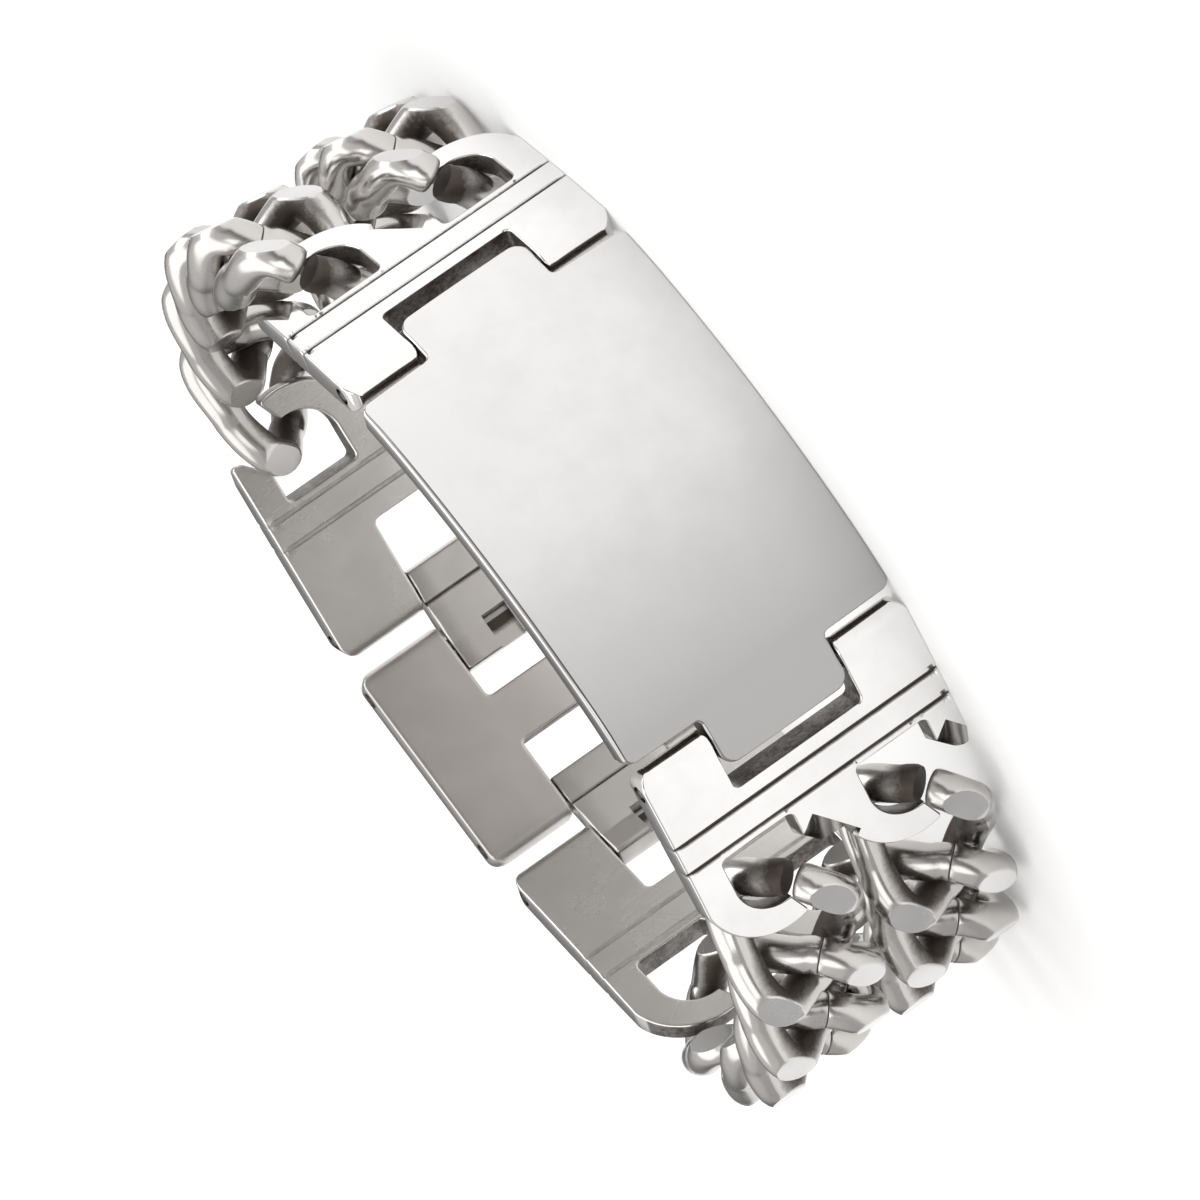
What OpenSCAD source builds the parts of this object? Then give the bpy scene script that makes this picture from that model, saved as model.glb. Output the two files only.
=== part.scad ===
// Identity bracelet: a curved plain plate, two strands of curb chain on each side, and a clasp.
// Lengths are in millimetres. The wrist axis is Z, the plate faces -Y and the clasp lies at +Y.
// The bracelet lies on its side edge, so everything stands between z = 0 and z = band_w.

/* [Band] */
// Height of the whole band along the wrist axis
band_w = 25; // [24:0.25:28]
// Depth of the loop, from the face of the plate to the middle of the clasp
loop_depth = 64; // [62:0.5:66]
// Width of the loop between the middles of the chains
loop_width = 75.6; // [74:0.2:77]

/* [Plate] */
// Thickness of the plate at its middle
plate_t = 2.5; // [2.4:0.05:2.9]
// Bend radius of the middle of the plate, at its outer face
plate_r = 60; // [52:1:80]
// Bend radius of the plate's two ends
end_r = 28; // [26:0.5:34]
// Half length of the flatter middle, measured along the face
flat_half = 12; // [10:0.25:13]
// Half length of the plate up to its shoulders
shoulder = 17.6; // [17:0.1:18.2]
// How far the tongue reaches past the shoulder
tongue_len = 4.5; // [4.3:0.1:4.7]
// How much the long edges lie lower than the middle line
crown = 0.4; // [0.1:0.05:0.6]

/* [End links] */
// Thickness of the end links at their ears
link_t = 2.5; // [2.4:0.05:2.7]
// Thickness of the hooks at their far end
hook_t = 1.5; // [1.2:0.05:1.8]
// Angle of the front end links to the plate's middle
front_angle = 39.5; // [37:0.5:42]
// Angle of the back end links to the clasp
back_angle = 28; // [26:0.5:30]
// Depth of the notch between the front ears, from the pin
front_notch = 3.7; // [3.4:0.1:3.8]
// Depth of the notch between the back ears, from the pin
back_notch = 7.0; // [6:0.1:7.2]
// Depth of the two cross grooves
groove = 0.35; // [0.2:0.05:0.45]
// Width of a hook's bar
hook_bar = 2.2; // [1.9:0.05:2.3]

/* [Chain] */
// Thickness of the chain wire
wire = 2.95; // [2.7:0.05:3]
// How far the two sides of a link are twisted out of flat
twist = 2.5; // [2.4:0.05:2.6]
// Turn of a strand's first and last link about the strand, to lie in the hooks
link_roll = 14.5; // [13:0.5:15]
// How much is cut from each face of the links
facet_cut = 0.5; // [0.2:0.05:0.7]

/* [Clasp] */
// Half length of the centre link
centre_half = 9.7; // [9.6:0.05:9.9]
// Half width of the centre link's crossbar
crossbar_half = 2.3; // [1.9:0.05:2.5]
// Thickness of the centre link
centre_t = 2.5; // [2.4:0.05:2.7]
// Distance between the two pins of a latch blade
blade_pins = 5.65; // [5.55:0.05:6]
// Slope of the latch blades
blade_angle = 20; // [17:0.5:22]
// Thickness of the latch blades
blade_t = 2.1; // [1.9:0.05:2.2]
// Half width of the notches that take the blades
notch_half = 4.65; // [4.3:0.05:5]
// Thickness of the pins
pin_d = 1.15; // [1:0.05:1.2]

/* [Hidden] */
$fn = 48;
gap = 0.15;                                  // side gap between a tongue or blade and its notch
fit = 0.04;                                  // gap all round a pin
half_w = band_w / 2;
tongue_half = band_w * 0.235;
front_y = -loop_depth / 2 - 0.6;             // outer face of the plate at its middle
clasp_y = front_y + loop_depth;              // middle of the clasp's thickness

// plate: two bend radii that meet at the end of the flatter middle
mid_deg = flat_half / plate_r * 180 / PI;
mid_c = [0, front_y + plate_r];
end_c = [(plate_r - end_r) * sin(mid_deg), mid_c[1] - (plate_r - end_r) * cos(mid_deg)];
function on_middle(s) = abs(s) <= flat_half;
function face_deg(s) =
    on_middle(s) ? s / plate_r * 180 / PI
                 : sign(s) * (mid_deg + (abs(s) - flat_half) / end_r * 180 / PI);
// the point at arc length s along the plate's face and at a depth below it
function plate_point(s, depth) =
    (on_middle(s) ? mid_c : [sign(s) * end_c[0], end_c[1]])
    + ((on_middle(s) ? plate_r : end_r) - depth) * [sin(face_deg(s)), -cos(face_deg(s))];
plate_half = shoulder + tongue_len;
pin_s = shoulder + 2.6;
front_pin = plate_point(pin_s, plate_t / 2 + 0.1);

// end links, measured along the link from the pin
front_d = 8.15;                              // straight side of the hook openings
back_d = 12.15;
seat_u = 6.25;                               // from that straight side to the hook's seat
front_ear = 1.7;
back_ear = 2.0;
hook_z = band_w * 0.255;                     // height of the hooks above and below the middle

blade_bend = 17;                             // bend of a blade past its snap pin
blade_dir = [cos(blade_angle), -sin(blade_angle)];
centre_pin = centre_half - 2.0;
back_pin = [centre_pin, clasp_y] + blade_pins * blade_dir;

// chain: equal steps round an arc between the seats of the front and back hooks
seat0 = front_pin + (front_d + seat_u - 0.4) * [cos(front_angle), sin(front_angle)]
        + 0.2 * [sin(front_angle), -cos(front_angle)];
seat1 = back_pin + (back_d + seat_u - 0.35) * [cos(back_angle), -sin(back_angle)]
        + 1.0 * [sin(back_angle), cos(back_angle)];
chord = norm(seat1 - seat0);
chord_dir = (seat1 - seat0) / chord;
bulge = loop_width / 2 - (seat0[0] + seat1[0]) / 2;
arc_r = (chord * chord / 4 + bulge * bulge) / (2 * bulge);
arc_half = asin(chord / 2 / arc_r);
arc_c = (seat0 + seat1) / 2 + (bulge - arc_r) * [chord_dir[1], -chord_dir[0]];
arc_mid = atan2(-chord_dir[0], chord_dir[1]);
steps = 5;
step_deg = 2 * arc_half / steps;
pitch = 2 * arc_r * sin(step_deg / 2);
link_len = pitch + 2 * wire + 0.2;
link_w = half_w - 0.5;
strand_z = half_w / 2 + 0.1;

// Shapes
// Section of the plate: outer face crowned, long edges rolled off, inner edges eased
function edge_drop(z) =
    crown * pow(z / half_w, 2)
    + (abs(z) > half_w - 0.8 ? 0.8 - sqrt(max(0, 0.64 - pow(abs(z) - half_w + 0.8, 2))) : 0);
section_z = [for (k = [-1, -0.986, -0.964, -0.936, -0.8, -0.6, -0.4, -0.2, 0,
                       0.2, 0.4, 0.6, 0.8, 0.936, 0.964, 0.986, 1]) k * half_w];

plate_section = concat([for (z = section_z) [edge_drop(z), z]],
    [[plate_t - 0.3, half_w], [plate_t, half_w - 0.3],
     [plate_t, -half_w + 0.3], [plate_t - 0.3, -half_w]]);
middle_steps = 12;
end_steps = 8;

// The whole plate as one ring of section points after another along its face
module plate_body() {
    stops = concat(
        [for (i = [0:end_steps - 1]) -plate_half + i * (plate_half - flat_half) / end_steps],
        [for (i = [0:middle_steps]) -flat_half + i * 2 * flat_half / middle_steps],
        [for (i = [1:end_steps]) flat_half + i * (plate_half - flat_half) / end_steps]);
    n = len(plate_section);
    last = (len(stops) - 1) * n;
    polyhedron(
        points = [for (s = stops) for (q = plate_section)
            let (p = plate_point(s, q[0])) [p[0], p[1], q[1]]],
        faces = concat(
            [[for (j = [n - 1:-1:0]) j], [for (j = [0:n - 1]) last + j]],
            [for (i = [0:n:last - n]) for (j = [0:n - 1])
                [i + j, i + (j + 1) % n, i + n + (j + 1) % n, i + n + j]]));
}

module pin_bore(p)
    translate([p[0], p[1], -half_w - 1]) cylinder(d = pin_d + 2 * fit, h = band_w + 2);

module pin_at(p)
    translate([p[0], p[1], -half_w + 0.7]) cylinder(d = pin_d, h = band_w - 1.4);

// Cuts at the +X end of the plate: its shoulders and the bore for the pin
module plate_end_cut() {
    for (z = [-half_w - 1, tongue_half])
        translate([end_c[0], end_c[1], z]) rotate([0, 0, face_deg(shoulder) - 90])
            translate([end_r - 8, 0, 0]) cube([16, 12, half_w + 1 - tongue_half]);
    pin_bore(front_pin);
}

// Thickness profile of an end link: outer face slightly arched, inner face thinning to the hook
function outer_n(u, reach) = link_t / 2 + 0.3 * (1 - pow(2 * u / reach - 1, 2));
function inner_n(u, reach) = -link_t / 2 + (link_t - hook_t) * pow(u / reach, 2);

module side_profile(ear, reach) {
    r = link_t / 2;
    polygon(concat(
        [for (a = [90:-30:-90]) [-(ear - r) - r * cos(a), r * sin(a)]],
        [for (k = [1:8]) [k * reach / 8, inner_n(k * reach / 8, reach)]],
        [for (k = [8:-1:1]) [k * reach / 8, outer_n(k * reach / 8, reach)]],
        [[0, link_t / 2 + 0.02]]));
}

// Outline of one hook, from its spur round the chain opening and the hook's tip to its back
function arc_pts(c, r, from, to, n) =
    [for (i = [0:n]) let (a = from + (to - from) * i / n) c + r * [cos(a), sin(a)]];
function hook_pts(d, zc) = concat(
    [[d + 5, zc - 5.1], [d + 2.95, zc - 3.4], [d, zc - 3.4], [d, zc + 3.3]],
    arc_pts([d + 2.95, zc], seat_u - 2.95, 90, -8, 14),
    [[d + 8.2, zc - 1.3]],
    arc_pts([d + 2.5, zc + 0.3], seat_u + hook_bar - 2.5, -10, 80, 14));

// Plan of one end link with the hook roots at +z: x along the link, y along the wrist axis
module end_plan(ear, notch, notch_h, d) {
    far = half_w + 1;
    polygon(concat(
        [[-ear - 1, -notch_h], [-ear - 1, -far], [d + 5.25, -far]],
        hook_pts(d, -hook_z), [[d + 5, hook_z - 5.5]],
        hook_pts(d, hook_z), [[d + 2, far]],
        [[-ear - 1, far], [-ear - 1, notch_h], [notch, notch_h], [notch, -notch_h]]));
}

// One end link in its own frame: pin axis along z through the origin, x towards the chain,
// y outwards, hook roots at +z
module end_link(ear, notch, notch_h, d) {
    reach = d + seat_u + hook_bar;
    difference() {
        intersection() {
            translate([0, 0, -half_w]) linear_extrude(height = band_w) side_profile(ear, reach);
            translate([0, 6, 0]) rotate([90, 0, 0]) linear_extrude(height = 12)
                end_plan(ear, notch, notch_h, d);
        }
        translate([0, 0, -half_w - 1]) cylinder(d = pin_d + 2 * fit, h = band_w + 2);
        for (u = [d - 3.1, d - 0.65]) {
            for (y = [outer_n(u, reach), inner_n(u, reach)])
                translate([u, y, 0]) rotate([0, 0, 45])
                    cube([groove * sqrt(2), groove * sqrt(2), band_w + 2], center = true);
            for (z = [-half_w, half_w])
                translate([u, 0, z]) rotate([0, 45, 0])
                    cube([groove * sqrt(2), 8, groove * sqrt(2)], center = true);
        }
        // slanted cuts on the ends of the two spurs
        for (zc = [-hook_z, hook_z])
            translate([d + 2.95, inner_n(d + 4, reach), zc - 3.4]) rotate([0, -50.3, 0])
                rotate([0, 0, 45]) translate([0, -1, -3]) cube([3, 4.2, 3.5]);
    }
}

module front_link(hand) {
    translate([front_pin[0], front_pin[1], 0]) rotate([0, 0, front_angle])
        mirror([0, 1, 0]) end_link(front_ear, front_notch, tongue_half + gap, front_d);
}

module back_link() {
    translate([back_pin[0], back_pin[1], 0]) rotate([0, 0, -back_angle])
        end_link(back_ear, back_notch, notch_half, back_d);
}

// A curb link is one closed loop of wire, rounder than a box and squarer than an ellipse,
// twisted so that its two long sides stand off the middle plane, with both faces cut flat
function signed_pow(v, p) = sign(v) * pow(abs(v), p);
function loop_point(t) =
    [(link_len - wire) / 2 * signed_pow(cos(t), 0.75),
     (link_w - wire) / 2 * signed_pow(sin(t), 0.75),
     -twist * sin(2 * t)];
function unit(v) = v / norm(v);
stations = 20;
sides = 6;
face_n = twist + wire / 2 - facet_cut;

module curb_link() {
    rings = [for (i = [0:stations - 1])
        let (t = (i + 0.5) * 360 / stations,
             c = loop_point(t),
             tan_v = unit(loop_point(t + 6) - loop_point(t - 6)),
             up = unit([0, 0, 1] - tan_v[2] * tan_v),
             sid = cross(tan_v, up))
        for (j = [0:sides - 1])
            let (a = (j + 0.5) * 360 / sides,
                 p = c + wire / 2 * (cos(a) * up + sin(a) * sid))
            [p[0], p[1], max(-face_n, min(face_n, p[2]))]];
    faces = [for (i = [0:stations - 1]) for (j = [0:sides - 1])
        let (i2 = (i + 1) % stations, j2 = (j + 1) % sides,
             a = i * sides + j, b = i2 * sides + j, c = i2 * sides + j2, d = i * sides + j2)
        each [[a, b, c], [a, c, d]]];
    polyhedron(points = rings, faces = faces);
}

// Link k of a strand on the +X side: x along the strand from the plate to the clasp,
// the link's faces turned outwards
module strand_link(k, zc) {
    a0 = arc_mid - arc_half + k * step_deg;
    a1 = a0 + step_deg;
    p0 = arc_c + arc_r * [cos(a0), sin(a0)];
    p1 = arc_c + arc_r * [cos(a1), sin(a1)];
    mid = (p0 + p1) / 2;
    dir = atan2(p1[1] - p0[1], p1[0] - p0[0]);
    roll = link_roll * (1 - k * 2 / (steps - 1));
    translate([mid[0], mid[1], zc]) rotate([0, 0, dir]) rotate([90 + roll, 0, 0]) curb_link();
}

module centre_shape() {
    difference() {
        union() {
            translate([-centre_half + centre_t / 2, clasp_y - centre_t / 2, -half_w])
                cube([2 * centre_half - centre_t, centre_t, band_w]);
            for (s = [-1, 1]) translate([s * (centre_half - centre_t / 2), clasp_y, -half_w])
                cylinder(d = centre_t, h = band_w);
        }
        for (s = [-1, 1])
            translate([s > 0 ? crossbar_half : -centre_half - 1, clasp_y - 3, -notch_half])
                cube([centre_half + 1 - crossbar_half, 6, 2 * notch_half]);
        for (s = [-1, 1]) pin_bore([s * centre_pin, clasp_y]);
    }
}

// One latch blade in its own frame: hinge pin at the origin, snap pin at +x, y outwards
module blade() {
    w = notch_half - gap;
    difference() {
        linear_extrude(height = 2 * w, center = true) {
            for (x = [0, blade_pins]) translate([x, 0]) circle(d = blade_t + 0.1);
            translate([0, -blade_t / 2]) square([blade_pins, blade_t]);
            translate([-1.5, -blade_t / 2]) square([1.6, blade_t / 2 + 0.35]);
            translate([blade_pins, 0]) rotate(-blade_bend)
                translate([0, -blade_t / 2]) square([2.7, blade_t]);
        }
        cylinder(d = pin_d + 2 * fit, h = 2 * w + 2, center = true);
        // round-bottomed channel for the snap pin, open outwards
        translate([blade_pins, 0, 0]) {
            cylinder(d = pin_d + 2 * fit, h = 2 * w + 2, center = true);
            translate([-pin_d / 2 - fit - 0.2, 0.12, -w - 1])
                cube([pin_d + fit, blade_t, 2 * w + 2]);
            rotate([0, 0, -27]) translate([-pin_d / 2 - fit, 0, -w - 1])
                cube([pin_d + 2 * fit, 2 * blade_t, 2 * w + 2]);
            // slot at the snap end, over a thin sprung tongue
            rotate([0, 0, -blade_bend])
                translate([-0.2, -blade_t / 2 - 1, -1.15]) cube([4, 1.55, 2.3]);
        }
        // fine line beside the hinge barrel
        translate([1.55, -blade_t / 2, 0]) rotate([0, 0, 45])
            cube([0.3, 0.3, 2 * w + 2], center = true);
    }
}

module placed() translate([0, -(front_y + clasp_y + centre_t / 2) / 2, half_w]) children();
module turned() placed() rotate([0, 180, 0]) children();

// Pieces
module id_plate() color("Gainsboro") placed() difference() {
    plate_body();
    for (turn = [0, 180]) rotate([0, turn, 0]) plate_end_cut();
}

module plate_pin_right() color("DimGray") placed() pin_at(front_pin);
module plate_pin_left() color("DimGray") turned() pin_at(front_pin);
module front_end_link_right() color("Gainsboro") placed() mirror([0, 0, 1]) front_link();
module front_end_link_left() color("Gainsboro") turned() mirror([0, 0, 1]) front_link();
module back_end_link_right() color("Gainsboro") placed() mirror([0, 0, 1]) back_link();
module back_end_link_left() color("Gainsboro") turned() mirror([0, 0, 1]) back_link();
module latch_pin_right() color("DimGray") placed() pin_at(back_pin);
module latch_pin_left() color("DimGray") turned() pin_at(back_pin);
module clasp_link() color("Silver") placed() centre_shape();
module centre_pin_right() color("DimGray") placed() pin_at([centre_pin, clasp_y]);
module centre_pin_left() color("DimGray") placed() pin_at([-centre_pin, clasp_y]);
module latch_blade_right() color("Silver") placed()
    translate([back_pin[0], back_pin[1], 0]) rotate([0, 0, 180 - blade_angle])
        mirror([0, 1, 0]) blade();
module latch_blade_left() color("Silver") placed()
    translate([-centre_pin, clasp_y, 0]) rotate([0, 0, 180 + blade_angle])
        mirror([0, 1, 0]) blade();

module right_upper_link_1() color("LightGray") placed() strand_link(0, strand_z);
module right_upper_link_2() color("LightGray") placed() strand_link(1, strand_z);
module right_upper_link_3() color("LightGray") placed() strand_link(2, strand_z);
module right_upper_link_4() color("LightGray") placed() strand_link(3, strand_z);
module right_upper_link_5() color("LightGray") placed() strand_link(4, strand_z);
module right_lower_link_1() color("LightGray") placed() strand_link(0, -strand_z);
module right_lower_link_2() color("LightGray") placed() strand_link(1, -strand_z);
module right_lower_link_3() color("LightGray") placed() strand_link(2, -strand_z);
module right_lower_link_4() color("LightGray") placed() strand_link(3, -strand_z);
module right_lower_link_5() color("LightGray") placed() strand_link(4, -strand_z);
module left_upper_link_1() color("LightGray") turned() strand_link(0, -strand_z);
module left_upper_link_2() color("LightGray") turned() strand_link(1, -strand_z);
module left_upper_link_3() color("LightGray") turned() strand_link(2, -strand_z);
module left_upper_link_4() color("LightGray") turned() strand_link(3, -strand_z);
module left_upper_link_5() color("LightGray") turned() strand_link(4, -strand_z);
module left_lower_link_1() color("LightGray") turned() strand_link(0, strand_z);
module left_lower_link_2() color("LightGray") turned() strand_link(1, strand_z);
module left_lower_link_3() color("LightGray") turned() strand_link(2, strand_z);
module left_lower_link_4() color("LightGray") turned() strand_link(3, strand_z);
module left_lower_link_5() color("LightGray") turned() strand_link(4, strand_z);

id_plate();
plate_pin_right();
plate_pin_left();
front_end_link_right();
front_end_link_left();
back_end_link_right();
back_end_link_left();
latch_pin_right();
latch_pin_left();
clasp_link();
centre_pin_right();
centre_pin_left();
latch_blade_right();
latch_blade_left();
right_upper_link_1();
right_upper_link_2();
right_upper_link_3();
right_upper_link_4();
right_upper_link_5();
right_lower_link_1();
right_lower_link_2();
right_lower_link_3();
right_lower_link_4();
right_lower_link_5();
left_upper_link_1();
left_upper_link_2();
left_upper_link_3();
left_upper_link_4();
left_upper_link_5();
left_lower_link_1();
left_lower_link_2();
left_lower_link_3();
left_lower_link_4();
left_lower_link_5();
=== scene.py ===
"""Looks of an identity bracelet: polished plate, hooked end links, two rows of curb chain on each
side and a clasp of three links. Shapes are worked out in millimetres and go into the meshes in
metres. The wrist axis is Z, the plate faces -Y, and the loop lies on its side edge."""
from types import SimpleNamespace

import bmesh
import bpy
import numpy as np
from mathutils import Matrix
from mathutils.geometry import delaunay_2d_cdt


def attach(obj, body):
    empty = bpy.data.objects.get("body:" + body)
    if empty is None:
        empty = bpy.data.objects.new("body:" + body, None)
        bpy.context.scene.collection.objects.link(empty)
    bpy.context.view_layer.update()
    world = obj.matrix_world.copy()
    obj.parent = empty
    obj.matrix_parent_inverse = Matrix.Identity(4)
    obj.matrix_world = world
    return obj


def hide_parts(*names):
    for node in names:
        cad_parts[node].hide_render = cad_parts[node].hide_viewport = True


bl_info = {
    "name": "Identity bracelet",
    "version": (1, 0, 0),
    "blender": (4, 5, 0),
    "location": "3D View > Sidebar > Bracelet",
    "description": "Plate, end links, curb chain and clasp of an identity bracelet",
    "category": "Object",
}

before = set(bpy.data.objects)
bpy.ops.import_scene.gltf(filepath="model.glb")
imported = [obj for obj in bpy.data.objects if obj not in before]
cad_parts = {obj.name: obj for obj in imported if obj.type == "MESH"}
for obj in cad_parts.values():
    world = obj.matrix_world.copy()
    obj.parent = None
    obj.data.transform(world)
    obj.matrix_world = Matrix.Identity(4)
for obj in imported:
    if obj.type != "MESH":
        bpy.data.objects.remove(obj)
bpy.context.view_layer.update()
MM = 0.001
SHARP = np.radians(32)
MERGE_WITHIN = 2e-7   # metres
SHORTEST_EDGE = 1e-8
RIM_ROWS = 4          # rings in each rounded rim
RIM_STAY = 0.12       # ring that keeps a face flat up to its rim
RIM_TURNS = np.linspace(0, np.pi / 2, RIM_ROWS + 1)
DRUM_TURNS = np.linspace(0, np.pi / 2, 4)
TONGUE_SHARE = 0.235  # half width of the plate's tongue, as a share of the band's width
HOOK_SHARE = 0.255    # height of a hook's middle over the band's middle, the same way
RUN_GAP = 0.15        # clearance of moving parts, in millimetres
PIN_INSET = 0.9       # how far each pin ends inside the band's edges
SEAM_AT = 0.46        # where a chain link is joined, as a share of its length
STRAND_LINKS = 5
FLOOR_HALF = 4000.0   # millimetres
MIX_INPUTS = (0, 6, 7)    # factor and the two colours of a Mix node
MIX_RESULT = 2
CAMERA_AT = (-0.11418, -0.75819, 0.18976)
CAMERA_RIGHT = (-0.59353962, -0.09867751, -0.79873242)
CAMERA_DOWN = (-0.791846, 0.24898336, 0.55766226)
CAMERA_LENS = 301.34
SOFTBOXES = (         # name, place, size, watts and colour
    ("overhead_softbox", (0.0, 0.1, 1.3), (1.6, 1.4), 8.5, (1, 1, 1)),
    ("front_softbox", (-0.6, -1.0, 0.9), (0.8, 0.8), 2.8, (1, 0.99, 0.97)),
    ("side_softbox", (0.9, -0.2, 0.7), (0.5, 0.8), 3.0, (0.96, 0.98, 1)))


# Sizes and colours

def length(name, text, default):
    """One size in the sidebar, in metres."""
    return bpy.props.FloatProperty(name=name, description=text, default=default, min=0,
                                   precision=5, unit="LENGTH", subtype="DISTANCE")


def angle(name, text, degrees):
    """One angle in the sidebar, its default in degrees."""
    return bpy.props.FloatProperty(name=name, description=text, default=np.radians(degrees),
                                   unit="ROTATION", subtype="ANGLE")


def colour(name, text, rgb):
    """One colour in the sidebar."""
    return bpy.props.FloatVectorProperty(name=name, description=text, default=(*rgb, 1), size=4,
                                         min=0, max=1, subtype="COLOR")


class BandSizes(bpy.types.PropertyGroup):
    band_width: length("Band width", "Height of the band along the wrist axis", 0.025)
    loop_depth: length("Loop depth", "From the plate's face to the middle of the clasp", 0.064)
    loop_width: length("Loop width", "Between the middles of the two chains", 0.0756)
    plate_thick: length("Plate thickness", "At the middle of the plate", 0.0025)
    plate_radius: length("Plate radius", "Bend of the plate's middle", 0.060)
    plate_end_radius: length("End radius", "Bend of the plate's two ends", 0.028)
    flat_half: length("Flat half", "Half length of the flatter middle", 0.012)
    shoulder: length("Shoulder", "Half length of the plate up to its shoulders", 0.0176)
    tongue: length("Tongue", "How far a tongue reaches past the shoulders", 0.0045)
    crown: length("Crown", "How much the long edges lie below the middle", 0.0004)
    link_thick: length("End link thickness", "At the ears", 0.0025)
    hook_thick: length("Hook thickness", "At the far end of a hook", 0.0015)
    front_angle: angle("Front angle", "Angle of the front end links to the plate", 39.5)
    back_angle: angle("Back angle", "Angle of the back end links to the clasp", 28)
    groove: length("Groove", "Half width of a cross groove", 0.00024)


class ChainSizes(bpy.types.PropertyGroup):
    wire: length("Wire", "Thickness of the chain wire", 0.00295)
    twist: length("Twist", "How far a link's sides stand out of its plane", 0.0025)
    roll: angle("Roll", "Turn of a strand's first and last link", 14.5)
    flat_cut: length("Flat cut", "Depth of the flats on a link's two faces", 0.00062)
    seam: length("Seam", "Depth of the line where a link is welded", 0.00012)
    opening: length("Opening", "Gap in the links that hold the front hooks", 0.0010)


class ClaspSizes(bpy.types.PropertyGroup):
    centre_half: length("Centre half", "Half length of the centre link", 0.0097)
    crossbar: length("Crossbar", "Half width of the centre link's crossbar", 0.0023)
    centre_thick: length("Thickness", "Thickness of the centre link", 0.0025)
    blade_pins: length("Blade pins", "Distance between the two pins of a blade", 0.00565)
    blade_angle: angle("Blade angle", "Slope of the blades", 20)
    blade_thick: length("Blade thickness", "Thickness of a blade", 0.0021)
    notch_half: length("Notch half", "Half width of the notches for the blades", 0.00465)
    pin: length("Pin", "Thickness of the pins", 0.00115)


class FinishColours(bpy.types.PropertyGroup):
    steel: colour("Steel", "Polished steel", (0.71, 0.70, 0.69))
    bright: colour("Bright steel", "Steel of the plate's end links", (0.81, 0.805, 0.795))
    chain: colour("Chain steel", "Steel of the chain links", (0.59, 0.57, 0.55))
    satin: colour("Satin steel", "Steel of the clasp", (0.74, 0.728, 0.716))
    pin: colour("Pin steel", "Steel of the hinge pins", (0.36, 0.35, 0.34))
    # The dark film colour is mostly painted shade in grooves, holes, notch walls and the hidden
    # sides of the chain wire; only the weld lines are real dark joints.
    grime: colour("Grime", "Dark film left in grooves and openings", (0.064, 0.049, 0.039))
    floor: colour("Floor", "Pale floor", (0.86, 0.86, 0.86))


GROUPS = {"bracelet_band": BandSizes, "bracelet_chain": ChainSizes,
          "bracelet_clasp": ClaspSizes, "bracelet_finish": FinishColours}


def direction(degrees):
    """The arrow (cos a, sin a) of length 1 in the plan."""
    return np.array([np.cos(np.radians(degrees)), np.sin(np.radians(degrees))])


def bracelet_plan(scene):
    """All sizes in millimetres and degrees, and the places that follow from them: the hinge
    pins, the seats of the hooks, and the arc that each chain follows between two seats."""
    b = SimpleNamespace()
    for group in ("bracelet_band", "bracelet_chain", "bracelet_clasp"):
        props = getattr(scene, group)
        for key, prop in props.bl_rna.properties.items():
            if prop.type == "FLOAT":
                value = getattr(props, key)
                setattr(b, key, np.degrees(value) if prop.subtype == "ANGLE" else value / MM)
    b.half = b.band_width / 2
    b.tongue_half = b.band_width * TONGUE_SHARE
    b.front_y = -b.loop_depth / 2 - 0.6
    b.clasp_y = b.front_y + b.loop_depth
    b.shift_y = -(b.front_y + b.clasp_y + b.centre_thick / 2) / 2
    b.bend = np.degrees(b.flat_half / b.plate_radius)
    b.mid_c = np.array([0, b.front_y + b.plate_radius])
    b.end_c = b.mid_c + (b.plate_radius - b.plate_end_radius) * np.array(
        [np.sin(np.radians(b.bend)), -np.cos(np.radians(b.bend))])
    b.pin_s = b.shoulder + 2.6
    b.front_pin = plate_point(b, np.array([b.pin_s]), np.array([b.plate_thick / 2 + 0.1]))[0]
    b.front = SimpleNamespace(d=8.15, ear=1.7, notch=3.7, corner=1.3,
                              notch_half=b.tongue_half + RUN_GAP)
    b.back = SimpleNamespace(d=12.15, ear=2.0, notch=7.0, corner=1.8, notch_half=b.notch_half)
    b.hook_z = b.band_width * HOOK_SHARE
    b.hook_reach = 8.45          # from the foot of the opening to a hook's far end
    b.hook_round = 5.95          # radius of a hook's outer curve
    b.eye_start = 2.95           # where the straight part of the opening ends
    b.eye_half = 3.3             # half width of the opening
    b.spur_z = b.eye_half + 0.1  # the spur's side of the opening
    b.centre_pin = b.centre_half - 2
    b.back_pin = np.array([b.centre_pin, b.clasp_y]) + b.blade_pins * direction(-b.blade_angle)
    front_seat, front_drop, back_seat, back_drop = 5.85, 0.2, 5.9, 1.0
    start = (b.front_pin + (b.front.d + front_seat) * direction(b.front_angle)
             + front_drop * direction(b.front_angle - 90))
    end = (b.back_pin + (b.back.d + back_seat) * direction(-b.back_angle)
           + back_drop * direction(90 - b.back_angle))
    chord = np.linalg.norm(end - start)
    along = (end - start) / chord
    across = np.array([along[1], -along[0]])
    bulge = b.loop_width / 2 - (start[0] + end[0]) / 2
    b.arc_r = (chord ** 2 / 4 + bulge ** 2) / (2 * bulge)
    half_turn = np.degrees(np.arcsin(chord / 2 / b.arc_r))
    b.arc_c = (start + end) / 2 + (bulge - b.arc_r) * across
    b.arc_from = np.degrees(np.arctan2(across[1], across[0])) - half_turn
    b.arc_step = 2 * half_turn / STRAND_LINKS
    pitch = 2 * b.arc_r * np.sin(np.radians(b.arc_step / 2))
    b.chain_len = pitch + 2 * b.wire + 0.2
    b.chain_width = b.half - 0.5
    b.strand_z = b.half / 2 + 0.1
    return b


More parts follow.
